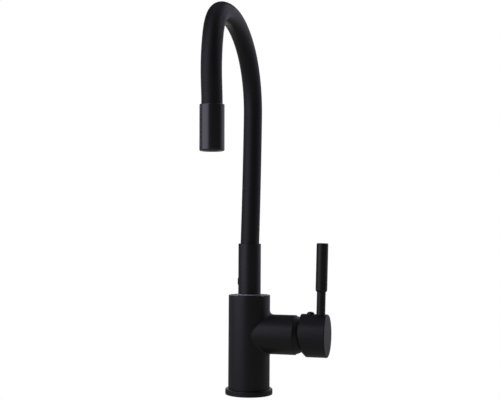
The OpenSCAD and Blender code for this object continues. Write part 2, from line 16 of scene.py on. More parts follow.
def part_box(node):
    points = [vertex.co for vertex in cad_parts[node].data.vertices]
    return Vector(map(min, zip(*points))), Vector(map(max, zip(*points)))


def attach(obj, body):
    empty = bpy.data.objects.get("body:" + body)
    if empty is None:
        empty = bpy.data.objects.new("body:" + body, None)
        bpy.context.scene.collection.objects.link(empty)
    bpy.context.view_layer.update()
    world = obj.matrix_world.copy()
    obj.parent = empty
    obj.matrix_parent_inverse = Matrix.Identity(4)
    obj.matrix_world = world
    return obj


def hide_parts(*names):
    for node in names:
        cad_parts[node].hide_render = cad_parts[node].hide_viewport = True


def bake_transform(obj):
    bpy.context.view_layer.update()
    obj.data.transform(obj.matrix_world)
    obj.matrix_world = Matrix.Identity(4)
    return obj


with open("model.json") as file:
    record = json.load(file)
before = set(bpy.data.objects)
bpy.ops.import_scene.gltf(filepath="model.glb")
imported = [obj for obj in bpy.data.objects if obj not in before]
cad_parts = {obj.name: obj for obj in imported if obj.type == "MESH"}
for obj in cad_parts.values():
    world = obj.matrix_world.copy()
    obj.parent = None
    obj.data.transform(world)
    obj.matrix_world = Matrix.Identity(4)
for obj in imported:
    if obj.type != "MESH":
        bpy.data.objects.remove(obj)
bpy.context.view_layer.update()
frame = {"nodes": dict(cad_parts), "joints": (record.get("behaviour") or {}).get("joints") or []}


# ---- Body casting ----------------------------------------------------------------------------
# One brass casting: an upright, and a branch that holds the cartridge, with a cast fillet where
# they meet. It is turned and drilled, its edges are broken, and it is powder coated matte black.

MM = 0.001
TURN = 2 * math.pi

body_lo, body_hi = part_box("valve_body")
body_r = (body_hi.y - body_lo.y) / 2
body_top = body_hi.z
body_foot, shoulder_w = 3 * MM, 4 * MM        # the shoulder that stands in the base ring
branch_end = body_hi.x
branch_r = 22.9 * MM
branch_z = 70 * MM
fillet_over, fillet_under = 5.0 * MM, 2.6 * MM
broken_edge, top_edge = 0.6 * MM, 1.0 * MM
swivel_bore_r, swivel_depth = 9.5 * MM, 30 * MM
nut_bore_r, nut_depth = 19.5 * MM, 10 * MM
cartridge_bore_r, cartridge_depth = 17.55 * MM, 32 * MM
stud_x, stud_r, stud_depth = -10 * MM, 3.4 * MM, 20 * MM
supply_x, supply_y, supply_r, supply_depth = 6 * MM, 7 * MM, 4.5 * MM, 14 * MM
stop_screw_z, stop_screw_r = 97 * MM, 2.5 * MM
stop_hole_in, stop_hole_out = 8 * MM, 30 * MM
drill_start = -1 * MM


def fine_grain():
    """A node group with the fine grain of a coated or moulded face, and its slow unevenness."""
    group = bpy.data.node_groups.new("fine_grain", "ShaderNodeTree")
    for socket in ("Scale", "Strength", "Depth"):
        group.interface.new_socket(socket, in_out="INPUT", socket_type="NodeSocketFloat")
    for socket, kind in (("Normal", "Vector"), ("Patches", "Float"), ("Grain", "Float")):
        group.interface.new_socket(socket, in_out="OUTPUT", socket_type="NodeSocket" + kind)
    nodes, links = group.nodes, group.links
    given, result = nodes.new("NodeGroupInput"), nodes.new("NodeGroupOutput")
    place = nodes.new("ShaderNodeTexCoord")
    patches, grain = nodes.new("ShaderNodeTexNoise"), nodes.new("ShaderNodeTexNoise")
    patches.inputs["Scale"].default_value = 38        # one patch in about 26 mm
    patches.inputs["Detail"].default_value = 3
    grain.inputs["Detail"].default_value = 4
    bump = nodes.new("ShaderNodeBump")
    for noise in (patches, grain):
        links.new(place.outputs["Object"], noise.inputs["Vector"])
    links.new(given.outputs["Scale"], grain.inputs["Scale"])
    links.new(given.outputs["Strength"], bump.inputs["Strength"])
    links.new(given.outputs["Depth"], bump.inputs["Distance"])
    links.new(grain.outputs["Fac"], bump.inputs["Height"])
    links.new(bump.outputs["Normal"], result.inputs["Normal"])
    links.new(patches.outputs["Fac"], result.inputs["Patches"])
    links.new(grain.outputs["Fac"], result.inputs["Grain"])
    return group


grain_group = fine_grain()


def finish(name, dark, light, rough, grain_size, bump, metallic=0.0, ior=1.5):
    """A material that drifts from dark to light in patches, with a fine grain of grain_size metres.

    The grain is a twelfth as deep as it is wide, and its hollows and crests range over rough.
    """
    material = bpy.data.materials.new(name)
    material.use_nodes = True
    nodes, links = material.node_tree.nodes, material.node_tree.links
    shader = nodes["Principled BSDF"]
    shader.inputs["Metallic"].default_value = metallic
    shader.inputs["IOR"].default_value = ior
    grain = nodes.new("ShaderNodeGroup")
    grain.name = "Grain"
    grain.node_tree = grain_group
    grain.inputs["Scale"].default_value = 1 / grain_size
    grain.inputs["Strength"].default_value = bump
    grain.inputs["Depth"].default_value = grain_size / 12
    colour = nodes.new("ShaderNodeMix")
    colour.name = "Colour"
    colour.data_type = "RGBA"
    colour.inputs["A"].default_value = (*dark, 1)
    colour.inputs["B"].default_value = (*light, 1)
    gloss = nodes.new("ShaderNodeMapRange")
    # The grain's noise rarely leaves 0.3 to 0.7
    gloss.inputs["From Min"].default_value = 0.3
    gloss.inputs["From Max"].default_value = 0.7
    gloss.inputs["To Min"].default_value = rough[0]
    gloss.inputs["To Max"].default_value = rough[1]
    links.new(grain.outputs["Patches"], colour.inputs["Factor"])
    links.new(grain.outputs["Grain"], gloss.inputs["Value"])
    links.new(colour.outputs["Result"], shader.inputs["Base Color"])
    links.new(gloss.outputs["Result"], shader.inputs["Roughness"])
    links.new(grain.outputs["Normal"], shader.inputs["Normal"])
    return material


def dress(piece, material):
    """Gives a piece its material."""
    piece.data.materials.clear()
    piece.data.materials.append(material)


def skin(bm, rings, cap=False):
    """Adds the faces between rings of points that all have the same number of points."""
    rows = [[bm.verts.new(point) for point in ring] for ring in rings]
    for near, far in zip(rows, rows[1:]):
        for i in range(len(near)):
            j = (i + 1) % len(near)
            bm.faces.new((near[i], near[j], far[j], far[i]))
    if cap:
        bm.faces.new(rows[-1])


def piece_from(bm, name, crease=38):
    """Makes a smooth piece of a bmesh, with creases at edges over crease degrees."""
    same_point = 0.0002 * MM
    bmesh.ops.remove_doubles(bm, verts=bm.verts, dist=same_point)
    bmesh.ops.recalc_face_normals(bm, faces=bm.faces)
    for edge in bm.edges:
        edge.smooth = not (edge.is_manifold and edge.calc_face_angle(0) > math.radians(crease))
    for face in bm.faces:
        face.smooth = True
    mesh = bpy.data.meshes.new(name)
    bm.to_mesh(mesh)
    bm.free()
    piece = bpy.data.objects.new(name, mesh)
    bpy.context.scene.collection.objects.link(piece)
    even_shading(piece)
    return piece


def even_shading(piece):
    """Lets the large faces rule the shading of the small ones at their edges."""
    even = piece.modifiers.new("even_shading", "WEIGHTED_NORMAL")
    even.keep_sharp = True
    even.weight = 80


def swing(start, end, share):
    """The arm that turns from start to end, both of one length, at a share of the way."""
    angle = start.angle(end)
    return (start * math.sin((1 - share) * angle) + end * math.sin(share * angle)) / math.sin(angle)


def profile(corners, steps=6):
    """A turning profile through (radius, height) corners, rounded where a corner has a third number."""
    path = []
    for i, corner in enumerate(corners):
        here = Vector(corner[:2])
        if len(corner) < 3:
            path.append(here)
            continue
        back = (Vector(corners[i - 1][:2]) - here).normalized()
        ahead = (Vector(corners[(i + 1) % len(corners)][:2]) - here).normalized()
        half = back.angle(ahead) / 2
        centre = here + (back + ahead).normalized() * (corner[2] / math.sin(half))
        reach = corner[2] / math.tan(half)
        path += [centre + swing(here + back * reach - centre, here + ahead * reach - centre, k / steps)
                 for k in range(steps + 1)]
    return path


def axis_at(origin, direction):
    """A place at origin whose Z points along direction."""
    return Matrix.Translation(origin) @ Vector(direction).to_track_quat("Z", "Y").to_matrix().to_4x4()


def body_casting():
    """The upright and its branch, joined by the fillet that a ball leaves as it rolls round the joint."""
    over, side = 28, 40       # points along half of the upright's top edge, and down its back
    count = 4 * over + 2 * side
    wall_rows, fillet_rows, branch_rows = 30, 16, 9
    crowding = 1.25           # how much closer the wall's rows lie near the joint
    round_share = 0.9         # how much of a broken edge is rounded
    turns = [TURN * i / count for i in range(count)]
    top = body_top - top_edge
    half_round = math.pi * body_r

    balls, on_body, on_branch = [], [], []
    for angle in turns:
        ball = fillet_under + (fillet_over - fillet_under) * (1 + math.cos(angle)) / 2
        y, z = -(branch_r + ball) * math.sin(angle), (branch_r + ball) * math.cos(angle)
        x = math.sqrt((body_r + ball) ** 2 - y * y)
        to_body, to_branch = body_r / (body_r + ball), branch_r / (branch_r + ball)
        balls.append(Vector((x, y, branch_z + z)))
        on_body.append(Vector((x * to_body, y * to_body, branch_z + z)))
        on_branch.append(Vector((x, y * to_branch, branch_z + z * to_branch)))

    # The outline of the upright's wall, unrolled and walked the same way round as the joint
    corners = [Vector(corner) for corner in (
        (0, top), (-half_round, top), (-half_round, body_foot), (0, body_foot),
        (half_round, body_foot), (half_round, top), (0, top))]
    walks = zip(corners, corners[1:], (over, side, over, over, side, over))
    outline = [start.lerp(end, k / steps) for start, end, steps in walks for k in range(steps)]

    rings = []
    for share in np.linspace(1, 0, wall_rows) ** crowding:
        ring = []
        for joint, edge in zip(on_body, outline):
            here = Vector((math.atan2(joint.y, joint.x) * body_r, joint.z)).lerp(edge, share)
            angle = here.x / body_r
            ring.append((body_r * math.cos(angle), body_r * math.sin(angle), here.y))
        rings.append(ring)
    for share in np.linspace(0, 1, fillet_rows)[1:]:
        rings.append([b + swing(p - b, q - b, share) for b, p, q in zip(balls, on_body, on_branch)])
    for share in np.linspace(0, 1, branch_rows)[1:]:
        rings.append([(p.x + (branch_end - broken_edge - p.x) * share, p.y, p.z) for p in on_branch])
    mouth = profile([
        (branch_r, branch_end - broken_edge), (branch_r, branch_end, broken_edge * round_share),
        (nut_bore_r, branch_end), (nut_bore_r, branch_end - nut_depth),
        (cartridge_bore_r, branch_end - nut_depth), (cartridge_bore_r, branch_end - cartridge_depth),
    ])
    for radius, x in mouth:
        rings.append([(x, -radius * math.sin(turn), branch_z + radius * math.cos(turn)) for turn in turns])
    bm = bmesh.new()
    skin(bm, rings, cap=True)

    crown = profile([(body_r, top), (body_r, body_top, top_edge * round_share), (swivel_bore_r, body_top),
                     (swivel_bore_r, body_top - swivel_depth)])
    foot = [(body_r, body_foot), (body_r - shoulder_w, body_foot), (body_r - shoulder_w, 0)]
    for path in (crown, foot):
        skin(bm, [[(r * math.cos(math.pi * k / over), r * math.sin(math.pi * k / over), z)
                   for k in range(2 * over)] for r, z in path], cap=True)
    return piece_from(bm, "body_casting")


def drill(piece, holes):
    """Drills (start, end, radius) holes in a piece."""
    bm = bmesh.new()
    for start, end, radius in holes:
        start, end = Vector(start), Vector(end)
        place = axis_at((start + end) / 2, end - start) @ Matrix.Diagonal((1, 1, (end - start).length, 1))
        bmesh.ops.create_cone(bm, cap_ends=True, segments=48, radius1=radius, radius2=radius, depth=1,
                              matrix=place)
    bits = piece_from(bm, "drill_bits")
    piece.modifiers.clear()
    cut = piece.modifiers.new("drilled", "BOOLEAN")
    cut.operation, cut.solver, cut.object = "DIFFERENCE", "EXACT", bits
    piece.data = bpy.data.meshes.new_from_object(piece.evaluated_get(bpy.context.evaluated_depsgraph_get()))
    piece.modifiers.clear()
    bpy.data.objects.remove(bits)
    even_shading(piece)


casting = body_casting()
drill(casting, [
    ((stud_x, 0, drill_start), (stud_x, 0, stud_depth), stud_r),
    ((supply_x, -supply_y, drill_start), (supply_x, -supply_y, supply_depth), supply_r),
    ((supply_x, supply_y, drill_start), (supply_x, supply_y, supply_depth), supply_r),
    ((0, stop_hole_in, stop_screw_z), (0, stop_hole_out, stop_screw_z), stop_screw_r),
])
powder_coat = finish("powder_coat", (0.0050, 0.0050, 0.0058), (0.0075, 0.0073, 0.0086), (0.36, 0.48),
                     0.40 * MM, 0.25)
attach(casting, "base")
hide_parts("valve_body")
dress(casting, powder_coat)


# ---- Base ring and gasket --------------------------------------------------------------------
# The body's shoulder stands in a turned brass ring with a rounded top edge, coated like the body.
# A rubber gasket in a groove under the ring seals it on the deck.

ring_lo, ring_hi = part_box("base_ring")
ring_r, ring_top = (ring_hi.y - ring_lo.y) / 2, ring_hi.z
slip = 0.05 * MM              # between pieces that slide together
ring_inner_r = body_r - shoulder_w + slip
ring_mouth_r = body_r + 0.08 * MM
ring_foot_edge, ring_round, ring_mouth_edge = 0.4 * MM, 1.4 * MM, 0.12 * MM
groove_out, groove_in, groove_depth = 25.35 * MM, 22.25 * MM, 1.65 * MM
gasket_round = 0.25 * MM


def turned(name, path, body, place=Matrix.Identity(4), around=96):
    """A piece turned on a lathe: the closed surface of a profile, with place's Z as its axis."""
    bm = bmesh.new()
    skin(bm, [[place @ Vector((r * math.cos(TURN * i / around), r * math.sin(TURN * i / around), h))
               for i in range(around)] for r, h in list(path) + [path[0]]])
    piece = piece_from(bm, name)
    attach(piece, body)
    return piece


base_ring = turned("base_ring_turned", profile([
    (ring_inner_r, 0), (groove_in, 0), (groove_in, groove_depth), (groove_out, groove_depth), (groove_out, 0),
    (ring_r, 0, ring_foot_edge), (ring_r, ring_top, ring_round), (ring_mouth_r, ring_top, ring_mouth_edge),
    (ring_mouth_r, body_foot), (ring_inner_r, body_foot),
], 8), "base", around=160)
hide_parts("base_ring")
dress(base_ring, powder_coat)

rubber = finish("seal_rubber", (0.008, 0.008, 0.009), (0.014, 0.014, 0.015), (0.55, 0.70), 0.30 * MM, 0.20)
gasket = turned("base_gasket_ring", profile([
    (groove_in + slip, slip, gasket_round), (groove_out - slip, slip, gasket_round),
    (groove_out - slip, groove_depth - slip, gasket_round),
    (groove_in + slip, groove_depth - slip, gasket_round),
]), "base")
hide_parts("base_gasket")
dress(gasket, rubber)


# ---- Cartridge and dome ----------------------------------------------------------------------
# A ceramic disc cartridge sits in the branch: moulded parts, two lapped discs, rubber port seals
# and a brass nut. The dome screws on over the nut, and its ball face turns inside the lever's head.

pivot = Vector(next(j for j in frame["joints"] if j["name"] == "lever_tilt")["pos_m"])
dome_r = 22.7 * MM
dome_foot = branch_end - pivot.x
dome_start, dome_tip = dome_foot + 0.15 * MM, dome_foot + 8 * MM
dome_lip = dome_foot + 5.5 * MM
lip_under, dome_root = dome_lip - 2 * MM, dome_foot - 2 * MM
dome_thread_r, dome_bore_r = 19.3 * MM, 15.5 * MM
dome_mouth_r, lip_r = 16.6 * MM, 12.8 * MM

moulded_white = finish("moulded_white", (0.68, 0.67, 0.62), (0.78, 0.77, 0.73), (0.42, 0.52), 0.6 * MM, 0.08)
moulded_blue = finish("moulded_blue", (0.05, 0.15, 0.30), (0.08, 0.20, 0.36), (0.42, 0.52), 0.6 * MM, 0.08)
lapped_ceramic = finish("lapped_ceramic", (0.78, 0.77, 0.73), (0.86, 0.85, 0.82), (0.12, 0.20),
                        0.3 * MM, 0.03)
brass = finish("turned_brass", (0.52, 0.34, 0.12), (0.66, 0.46, 0.19), (0.26, 0.36), 0.5 * MM, 0.10,
               metallic=1)
steel = finish("stainless_steel", (0.42, 0.43, 0.45), (0.58, 0.58, 0.60), (0.28, 0.38), 0.5 * MM, 0.12,
               metallic=1)


def finish_nodes(material, *names):
    """Gives the frame's own pieces their material."""
    for name in names:
        piece = frame["nodes"][name]
        piece.data.materials.clear()
        piece.data.materials.append(material)


def ball_line(radius, start, end, steps=10):
    """The profile of a ball face between two heights from its centre."""
    return [Vector((math.sqrt(radius ** 2 - h * h), h)) for h in np.linspace(start, end, steps + 1)]


finish_nodes(moulded_blue, "cartridge_base", "cartridge_rotor")
finish_nodes(moulded_white, "cartridge_housing", "disc_carrier")
finish_nodes(lapped_ceramic, "fixed_disc", "moving_disc")
finish_nodes(rubber, "cartridge_seals")
finish_nodes(brass, "retaining_nut", "spindle")
finish_nodes(steel, "spindle_pin")

dome = turned("dome_turned", [(dome_thread_r, dome_root), (dome_thread_r, dome_start)]
              + ball_line(dome_r, dome_start, dome_tip)
              + [(dome_mouth_r, dome_tip), (dome_mouth_r, dome_lip), (lip_r, dome_lip), (lip_r, lip_under),
                 (dome_bore_r, lip_under), (dome_bore_r, dome_root)],
              "base", axis_at(pivot, (1, 0, 0)), around=144)
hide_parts("dome_cover")
dress(dome, powder_coat)


# ---- Lever head ------------------------------------------------------------------------------
# A turned brass cup that hides the dome. A 45 degree cut, set high so that the head can tilt,
# bevels its rear rim, and the hollow inside is a ball face that clears the dome.

head_r, head_reach, head_edge = 24.7 * MM, 42.2 * MM, 1.3 * MM
rim_foot, rim_r, rim_up = 11.6 * MM, 24.9 * MM, 6.8 * MM
hollow_r, hollow_depth, boss_r, boss_out = 23.4 * MM, 19 * MM, 8 * MM, 3.5 * MM
face_row, wall_row = 4 * MM, 5 * MM           # rows of points on either side of the front edge
rim_soft = 0.4 * MM
lip_back, lip_in, hollow_row = 0.3 * MM, 0.2 * MM, 0.4 * MM   # rows that keep the hollow's lip crisp
lever = Matrix.Translation(pivot)


def round_head(x, radius, angle):
    """The point at x along the head's axis, at a radius from it and an angle round it from the top."""
    return Vector((x, -radius * math.sin(angle), radius * math.cos(angle)))


def head_wall(x):
    """The radius of the head's outer wall, which is straight."""
    return head_r


def hollow_wall(x):
    """The radius of the hollow's ball face at x."""
    return math.sqrt(max(hollow_r ** 2 - x * x, 0))


def rim_radius(x, angle):
    """How far the rim's raised cone stands from the head's axis."""
    return rim_up * math.cos(angle) + math.sqrt((rim_r + x - rim_foot) ** 2 - (rim_up * math.sin(angle)) ** 2)


def rim_x(radius_at, angle):
    """How far along the head's axis the rim's cone meets the face of radius_at(x)."""
    behind, ahead = 2 * MM, 30 * MM
    for _ in range(40):
        x = (behind + ahead) / 2
        if radius_at(x) > rim_radius(x, angle):
            behind = x
        else:
            ahead = x
    return x


def lever_head():
    """The cup, as columns of points that run from the end face, over the rim, to the hollow's boss."""
    around = 160
    face = profile([(0, head_reach), (head_r - face_row, head_reach), (head_r, head_reach, head_edge),
                    (head_r, head_reach - wall_row)], 8)
    columns = []
    for i in range(around):
        angle = TURN * i / around
        column = [round_head(x, radius, angle) for radius, x in face]
        outer = round_head(max(rim_x(head_wall, angle), rim_foot), head_r, angle)
        lip_x = max(rim_x(hollow_wall, angle), rim_foot)
        lip = round_head(lip_x, hollow_wall(lip_x), angle)
        along, bevel = (column[-1] - outer).normalized(), (lip - outer).normalized()
        start, end = outer + along * rim_soft, outer + bevel * rim_soft
        column += [column[-1].lerp(start, k / 4) for k in (1, 2, 3)]
        for share in np.linspace(0, 1, 5):
            column.append(start.lerp(outer, share).lerp(outer.lerp(end, share), share))
        column += [outer.lerp(lip, 0.5), lip - bevel * lip_back, lip + along * lip_in]
        column += [round_head(x, hollow_wall(x), angle)
                   for x in np.linspace(lip_x + hollow_row, hollow_depth, 10)]
        column += [round_head(x, boss_r, angle) for x in (hollow_depth, hollow_depth - boss_out)]
        column.append(round_head(hollow_depth - boss_out, 0, angle))
        columns.append([lever @ point for point in column])
    bm = bmesh.new()
    skin(bm, [list(ring) for ring in zip(*columns)])
    piece = piece_from(bm, "lever_head_cup", 30)
    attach(piece, "handle")
    return piece


head = lever_head()
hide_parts("lever_head")
dress(head, powder_coat)


# ---- Lever stem and grip ---------------------------------------------------------------------
# A steel rod screwed into the head, leaning out a little, with a turned grip screwed on it. A fine
# joint below the grip's top marks its end cap. Both are coated like the body.

stem_r, stem_len, stem_lean = 5.1 * MM, 25.6 * MM, math.radians(1.2)
stem_x, stem_in_head, stem_in_grip = 33.9 * MM, 5 * MM, 1 * MM
grip_r, grip_len = 6.75 * MM, 55.8 * MM
foot_in, foot_up, foot_round, foot_taper = 0.3 * MM, 0.8 * MM, 0.8 * MM, 3 * MM
cap_len, cap_round, joint_gap = 2.4 * MM, 1.1 * MM, 0.12 * MM
stem_place = lever @ Matrix.Translation((stem_x, 0, head_r)) @ Matrix.Rotation(stem_lean, 4, "Y")

stem_end = stem_len + stem_in_grip
stem = turned("stem_rod", [(0, -stem_in_head), (stem_r, -stem_in_head), (stem_r, stem_end), (0, stem_end)],
              "handle", stem_place, around=64)
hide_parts("lever_stem")
dress(stem, powder_coat)

grip_top = stem_len + grip_len
cap_foot = grip_top - cap_len
grip = turned("grip_turned", profile([
    (0, stem_len), (stem_r, stem_len), (grip_r - foot_in, stem_len + foot_up, foot_round),
    (grip_r, stem_len + foot_taper), (grip_r, cap_foot - joint_gap),
    (grip_r - joint_gap, cap_foot - joint_gap / 2), (grip_r, cap_foot),
    (grip_r, grip_top, cap_round), (0, grip_top),
], 8), "handle", stem_place, around=80)
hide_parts("lever_grip")
dress(grip, powder_coat)


# ---- Index plug ------------------------------------------------------------------------------
# A glossy moulded cap on top of the head, over the set screw that holds the head on the spindle.
# It carries a small round mark, half red and half blue, for hot and cold.

plug_x, plug_sunk = 22 * MM, 0.6 * MM
plug_place = lever @ Matrix.Translation((plug_x, 0, head_r - plug_sunk))
plug_r, plug_rise = 4.5 * MM, 3.35 * MM
plug_fullness = 0.8           # 1 would be half an ellipse, and 0 a plain cylinder
shank_r, shank_len = 3.5 * MM, 6 * MM
mark_r, mark_blur = 2.6 * MM, 0.05
hot_red, cold_blue = (0.20, 0.016, 0.012), (0.012, 0.030, 0.100)


def index_plastic():
    """The cap's black plastic, with the printed mark round the cap's top."""
    material = finish("index_plastic", (0.006, 0.005, 0.006), (0.009, 0.007, 0.008), (0.16, 0.24),
                      0.5 * MM, 0.04)
    nodes, links = material.node_tree.nodes, material.node_tree.links
    place = nodes.new("ShaderNodeTexCoord")
    from_top = nodes.new("ShaderNodeVectorMath")
    from_top.operation = "DISTANCE"
    from_top.inputs[1].default_value = plug_place @ Vector((0, 0, plug_rise))
    inside = nodes.new("ShaderNodeMapRange")
    inside.inputs["From Min"].default_value = mark_r * (1 + mark_blur)
    inside.inputs["From Max"].default_value = mark_r * (1 - mark_blur)
    sides = nodes.new("ShaderNodeSeparateXYZ")
    hot_side = nodes.new("ShaderNodeMath")
    hot_side.operation = "LESS_THAN"
    hot_side.inputs[1].default_value = 0
    ink, print_on = nodes.new("ShaderNodeMix"), nodes.new("ShaderNodeMix")
    ink.data_type = print_on.data_type = "RGBA"
    ink.inputs["A"].default_value = (*cold_blue, 1)
    ink.inputs["B"].default_value = (*hot_red, 1)
    links.new(place.outputs["Object"], from_top.inputs[0])
    links.new(place.outputs["Object"], sides.inputs[0])
    links.new(from_top.outputs["Value"], inside.inputs["Value"])
    links.new(sides.outputs["Y"], hot_side.inputs[0])
    links.new(hot_side.outputs["Value"], ink.inputs["Factor"])
    links.new(inside.outputs["Result"], print_on.inputs["Factor"])
    links.new(nodes["Colour"].outputs["Result"], print_on.inputs["A"])
    links.new(ink.outputs["Result"], print_on.inputs["B"])
    links.new(print_on.outputs["Result"], nodes["Principled BSDF"].inputs["Base Color"])
    return material


plug = turned("index_plug_cap", [(0, -shank_len), (shank_r, -shank_len), (shank_r, 0)]
              + [(plug_r * abs(math.cos(turn)) ** plug_fullness, plug_rise * math.sin(turn) ** plug_fullness)
                 for turn in np.linspace(0, TURN / 4, 24)],
              "handle", plug_place, around=64)
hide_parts("index_plug")
dress(plug, index_plastic())
finish_nodes(steel, "lever_set_screw")


# ---- Swivel and ferrule ----------------------------------------------------------------------
# A brass nipple with two O-rings turns in the body's top, stopped by a screw in its groove. The
# coated ferrule stands on it over a thin pale glide ring, held by a clamp screw under a low cap.

ferrule_lo, ferrule_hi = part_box("spout_ferrule")
ferrule_r = (ferrule_hi.y - ferrule_lo.y) / 2
ferrule_foot, ferrule_top = ferrule_lo.z, ferrule_hi.z
glide_lo, glide_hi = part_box("glide_ring")
glide_r = (glide_hi.y - glide_lo.y) / 2
glide_inner_r, glide_top_r, glide_step = 9.6 * MM, 12.8 * MM, 0.65 * MM
glide_edge, glide_corner = 0.1 * MM, 0.15 * MM
collar_bore_r = 11.25 * MM
mouth_r, mouth_depth = 11.9 * MM, 17 * MM
ferrule_foot_edge, ferrule_top_edge, mouth_edge = 0.3 * MM, 0.6 * MM, 0.25 * MM
clamp_turn, clamp_up, clamp_r, clamp_out = math.radians(15), 14.8 * MM, 4 * MM, 0.6 * MM
clamp_sunk, clamp_round = 2 * MM, 0.35 * MM

finish_nodes(brass, "swivel_nipple")
finish_nodes(rubber, "swivel_o_rings")
finish_nodes(steel, "swivel_stop_screw")

glide_plastic = finish("glide_plastic", (0.62, 0.68, 0.72), (0.70, 0.76, 0.80), (0.30, 0.40), 0.5 * MM, 0.05)
glide_shelf = glide_lo.z + glide_step
glide = turned("glide_ring_turned", profile([
    (glide_inner_r, glide_lo.z), (glide_r, glide_lo.z, glide_edge), (glide_r, glide_shelf, glide_corner),
    (glide_top_r, glide_shelf), (glide_top_r, glide_hi.z), (glide_inner_r, glide_hi.z),
], 4), "spout_base", around=120)
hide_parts("glide_ring")
dress(glide, glide_plastic)

ferrule = turned("ferrule_turned", profile([
    (collar_bore_r, ferrule_foot), (ferrule_r, ferrule_foot, ferrule_foot_edge),
    (ferrule_r, ferrule_top, ferrule_top_edge), (mouth_r, ferrule_top, mouth_edge),
    (mouth_r, ferrule_top - mouth_depth), (collar_bore_r, ferrule_top - mouth_depth),
]), "spout_base", around=120)
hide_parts("spout_ferrule")
dress(ferrule, powder_coat)

clamp_way = Vector((-math.cos(clamp_turn), -math.sin(clamp_turn), 0))
clamp_cap = turned("clamp_screw_cap", profile([
    (0, ferrule_r - clamp_sunk), (clamp_r, ferrule_r - clamp_sunk),
    (clamp_r, ferrule_r + clamp_out, clamp_round), (0, ferrule_r + clamp_out),
]), "spout_base", axis_at((0, 0, ferrule_foot + clamp_up), clamp_way), around=48)
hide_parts("ferrule_clamp_screw")
dress(clamp_cap, powder_coat)


# ---- Hose ------------------------------------------------------------------------------------
# A black silicone sleeve over a wound steel core that holds any bend, with the water tube inside.
# It leaves the ferrule leaning back a little, rises, and comes round in one hook to the outlet.

hose_r, sleeve_wall = 10.95 * MM, 1.75 * MM
core_r, core_wall = 8.8 * MM, 1.6 * MM
tube_r, tube_wall = 5.6 * MM, 1.6 * MM
sleeve_grip = 12 * MM         # how far the hose goes into the outlet head
collar_top = ferrule_foot + 19 * MM
core_in_ferrule, core_in_outlet = 9 * MM, 0.2 * MM
foot_len, foot_lean = 15 * MM, 5.8
hose_foot = ferrule_top - foot_len
rise_r, foot_flex_len, rise_len = 2450 * MM, 60 * MM, 91.8 * MM

# The stretches of the hose, each a bending radius and a turn in degrees, forwards positive
stretches = [
    (foot_len / math.radians(foot_lean), -foot_lean),      # leans back inside the ferrule
    (rise_r, math.degrees(foot_flex_len / rise_r)),        # flexes above the ferrule
    (rise_r, math.degrees(rise_len / rise_r)),             # rises
    (88.4 * MM, 55.8),                                     # shoulder
    (116 * MM, 50),                                        # crown
    (36.2 * MM, 56.9),                                     # nose, which flexes too
    (121.5 * MM, 28.9),                                    # drops
    (133 * MM, -7.9),                                      # straightens into the outlet head
]
foot_flex, crown, nose_flex = 1, 4, 5                      # places in that list
stretch_ends = np.cumsum([0] + [radius * abs(math.radians(turn)) for radius, turn in stretches])
hose_end = stretch_ends[-1]


def hose_line(step=1.5 * MM, ease=9 * MM):
    """The centre line, as rows of forward, height, heading and length so far.

    Where two stretches meet, the bend changes over a length of twice ease, as in a real hose.
    """
    bends = np.array([math.copysign(1 / radius, turn) for radius, turn in stretches])
    lengths = np.linspace(0, hose_end, int(hose_end / step) + 1)
    shifts = np.linspace(-ease, ease, 19)
    hair = 1e-6 * MM          # keeps both ends inside a stretch

    def bend_at(length):
        """One over the bending radius of the stretch at a length."""
        return bends[np.searchsorted(stretch_ends, np.clip(length, hair, hose_end - hair)) - 1]

    def walk(bend):
        """The line's forward, height and heading where it bends as given."""
        heading = np.concatenate([[0], np.cumsum((bend[1:] + bend[:-1]) / 2 * np.diff(lengths))])
        middle = (heading[1:] + heading[:-1]) / 2
        forward = np.concatenate([[0], np.cumsum(np.sin(middle) * np.diff(lengths))])
        height = np.concatenate([[0], np.cumsum(np.cos(middle) * np.diff(lengths))])
        return np.stack([forward, height, heading], axis=1)

    sharp = walk(bend_at(lengths))
    eased = walk(np.mean([bend_at(lengths + shift) for shift in shifts], axis=0))
    eased += (sharp[-1] - eased[-1]) * (lengths / hose_end)[:, None]
    eased[:, 1] += hose_foot
    return np.column_stack([eased, lengths])


centre_line = hose_line()


def hose_place(length):
    """The place at a length along the hose, with its Z running on along it."""
    forward, height, heading = (np.interp(length, centre_line[:, 3], centre_line[:, k]) for k in range(3))
    return Matrix.Translation((0, -forward, height)) @ Matrix.Rotation(heading, 4, "X")


def hose_piece(name, material, nodes, radius, wall, upper, run_on, around=64):
    """A tube along the lower or the upper half of the hose, which meet at the crown.

    Its far end runs on straight by run_on, into the ferrule or the outlet head.
    """
    half = stretch_ends[crown]
    start, end = (half, hose_end) if upper else (0, half)
    lengths = [start] + [length for length in centre_line[:, 3] if start + MM < length < end - MM] + [end]
    places = [hose_place(length) for length in lengths]
    if upper:
        places.append(places[-1] @ Matrix.Translation((0, 0, run_on)))
    else:
        places.insert(0, places[0] @ Matrix.Translation((0, 0, -run_on)))
    circle = [Vector((math.cos(TURN * i / around), math.sin(TURN * i / around), 0)) for i in range(around)]
    outer = [[place @ (point * radius) for point in circle] for place in places]
    inner = [[place @ (point * (radius - wall)) for point in circle] for place in places]
    bm = bmesh.new()
    skin(bm, [inner[0]] + outer + inner[::-1])
    piece = piece_from(bm, name)
    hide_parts(*nodes)
    dress(piece, material)
    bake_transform(piece)


